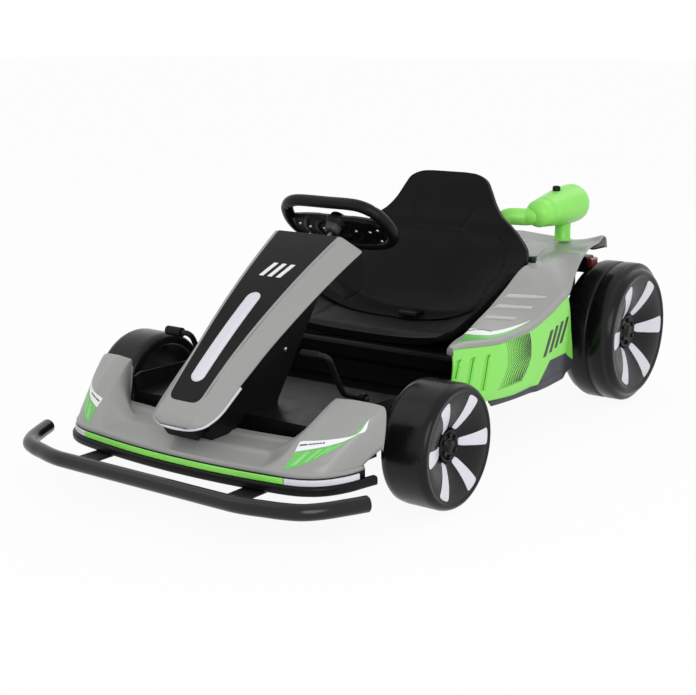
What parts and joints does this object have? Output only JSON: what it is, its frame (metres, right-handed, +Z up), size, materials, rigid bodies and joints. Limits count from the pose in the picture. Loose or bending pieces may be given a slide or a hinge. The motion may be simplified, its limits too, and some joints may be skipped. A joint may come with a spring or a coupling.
{
  "type": "electric drift kart",
  "caption": "Low child's electric drift kart with a tube bumper, steerable front wheels, bucket seat, pedals, grey and green body panels and a dummy muffler.",
  "frame": {"origin": "on the ground, at the centre of the kart's footprint", "axes": "+Z up, -Y towards the nose and +Y towards the tail, +X towards the driver's left; the middle plane is x = 0"},
  "size_m": [0.706, 1.273, 0.471],
  "materials": {
    "grey_panel": "smooth, light warm grey moulded panels",
    "green_panel": "smooth, lime green",
    "black_plastic": "satin black",
    "gloss_black": "gloss black",
    "pale_trim": "smooth, pale lilac white",
    "wheel_plastic": "hard satin black, slightly polished tread",
    "frame_paint": "satin black paint",
    "zinc_steel": "zinc plated",
    "slate_plastic": "satin dark blue grey",
    "seat_plastic": "fine-grained black",
    "webbing": "woven black strap",
    "red_lens": "gloss red"
  },
  "bodies": {
    "chassis": {"chassis_frame": "frame_paint", "rear_axle": "zinc_steel", "gearbox_left": "black_plastic", "gearbox_right": "black_plastic", "bumper_tube": "black_plastic", "bumper_bracket_left": "frame_paint", "bumper_bracket_right": "frame_paint", "bumper_moulding": "black_plastic", "light_strip": "green_panel", "pale_strip_left": "pale_trim", "pale_strip_right": "pale_trim", "front_cowl": "grey_panel", "cowl_tray": "black_plastic", "column_cover": "grey_panel", "column_panel": "gloss_black", "light_bar": "pale_trim", "column_trim": "pale_trim", "column_housing": "black_plastic", "floor_pan": "black_plastic", "seat_base": "black_plastic", "seat_shell": "seat_plastic", "lap_belt": "webbing", "belt_buckle": "black_plastic", "deck_arm_left": "grey_panel", "deck_arm_right": "grey_panel", "tail_bridge": "grey_panel", "side_panel_left": "green_panel", "side_panel_right": "green_panel", "sill_left": "slate_plastic", "sill_right": "slate_plastic", "rear_body": "black_plastic", "tail_light_left": "red_lens", "tail_light_right": "red_lens", "muffler": "green_panel", "muffler_outlet": "black_plastic", "muffler_pipe": "green_panel"},
    "steering": {"steering_shaft": "zinc_steel", "steering_wheel": "black_plastic"},
    "knuckle_left": {"knuckle_left": "frame_paint"},
    "knuckle_right": {"knuckle_right": "frame_paint"},
    "track_rod": {"track_rod": "zinc_steel"},
    "wheel_front_left": {"wheel_front_left": "wheel_plastic", "wheel_trim_front_left": "pale_trim", "hub_cap_front_left": "black_plastic"},
    "wheel_front_right": {"wheel_front_right": "wheel_plastic", "wheel_trim_front_right": "pale_trim", "hub_cap_front_right": "black_plastic"},
    "wheel_rear_left": {"wheel_rear_left": "wheel_plastic", "wheel_trim_rear_left": "pale_trim", "hub_cap_rear_left": "black_plastic"},
    "wheel_rear_right": {"wheel_rear_right": "wheel_plastic", "wheel_trim_rear_right": "pale_trim", "hub_cap_rear_right": "black_plastic"},
    "brake_pedal": {"brake_pedal": "frame_paint"},
    "throttle_pedal": {"throttle_pedal": "frame_paint"},
    "horn_button": {"horn_button": "red_lens"},
    "music_button": {"music_button": "green_panel"},
    "muffler_cap": {"muffler_cap": "black_plastic"},
    "drive_knob": {"drive_knob": "black_plastic"}
  },
  "joints": [
    {"name": "steering_turn", "type": "hinge", "parent": "chassis", "child": "steering", "pos_m": [0, -0.1255, 0.414], "axis": [0, 0.7071, 0.7071], "range_deg": [-36, 36]},
    {"name": "knuckle_left_turn", "type": "hinge", "parent": "chassis", "child": "knuckle_left", "pos_m": [0.25, -0.2815, 0.102], "axis": [0, 0, 1], "range_deg": [-22, 22]},
    {"name": "knuckle_right_turn", "type": "hinge", "parent": "chassis", "child": "knuckle_right", "pos_m": [-0.25, -0.2815, 0.102], "axis": [0, 0, 1], "range_deg": [-22, 22]},
    {"name": "track_rod_turn", "type": "hinge", "parent": "knuckle_left", "child": "track_rod", "pos_m": [0.25, -0.2215, 0.1083], "axis": [0, 0, 1], "range_deg": [-22, 22]},
    {"name": "wheel_front_left_spin", "type": "hinge", "parent": "knuckle_left", "child": "wheel_front_left", "pos_m": [0.353, -0.2815, 0.102], "axis": [1, 0, 0], "continuous": true},
    {"name": "wheel_front_right_spin", "type": "hinge", "parent": "knuckle_right", "child": "wheel_front_right", "pos_m": [-0.353, -0.2815, 0.102], "axis": [1, 0, 0], "continuous": true},
    {"name": "wheel_rear_left_spin", "type": "hinge", "parent": "chassis", "child": "wheel_rear_left", "pos_m": [0.296, 0.4965, 0.14], "axis": [1, 0, 0], "continuous": true},
    {"name": "wheel_rear_right_spin", "type": "hinge", "parent": "chassis", "child": "wheel_rear_right", "pos_m": [-0.296, 0.4965, 0.14], "axis": [1, 0, 0], "continuous": true},
    {"name": "brake_press", "type": "hinge", "parent": "chassis", "child": "brake_pedal", "pos_m": [0.148, -0.2725, 0.149], "axis": [1, 0, 0], "range_deg": [0, 14], "stiffness_Nm_per_rad": 1.5, "springref_deg": -20.05},
    {"name": "throttle_press", "type": "hinge", "parent": "chassis", "child": "throttle_pedal", "pos_m": [-0.147, -0.2725, 0.149], "axis": [1, 0, 0], "range_deg": [0, 14], "stiffness_Nm_per_rad": 1.5, "springref_deg": -20.05},
    {"name": "horn_press", "type": "slide", "parent": "steering", "child": "horn_button", "axis": [0, -0.7071, -0.7071], "range_m": [0, 0.003], "stiffness_N_per_m": 300, "springref_m": -0.002},
    {"name": "music_press", "type": "slide", "parent": "steering", "child": "music_button", "axis": [0, -0.7071, -0.7071], "range_m": [0, 0.003], "stiffness_N_per_m": 300, "springref_m": -0.002},
    {"name": "muffler_cap_turn", "type": "hinge", "parent": "chassis", "child": "muffler_cap", "pos_m": [0.15, 0.3995, 0.4355], "axis": [0, 0, 1], "range_deg": [0, 90]},
    {"name": "drive_knob_turn", "type": "hinge", "parent": "chassis", "child": "drive_knob", "pos_m": [0.2145, 0.1915, 0.318], "axis": [0, 0, 1], "range_deg": [0, 90]}
  ],
  "couplings": [
    {"joint": "knuckle_left_turn", "follows": "steering_turn", "ratio": 0.6},
    {"joint": "knuckle_right_turn", "follows": "steering_turn", "ratio": 0.6},
    {"joint": "track_rod_turn", "follows": "steering_turn", "ratio": -0.6}
  ]
}
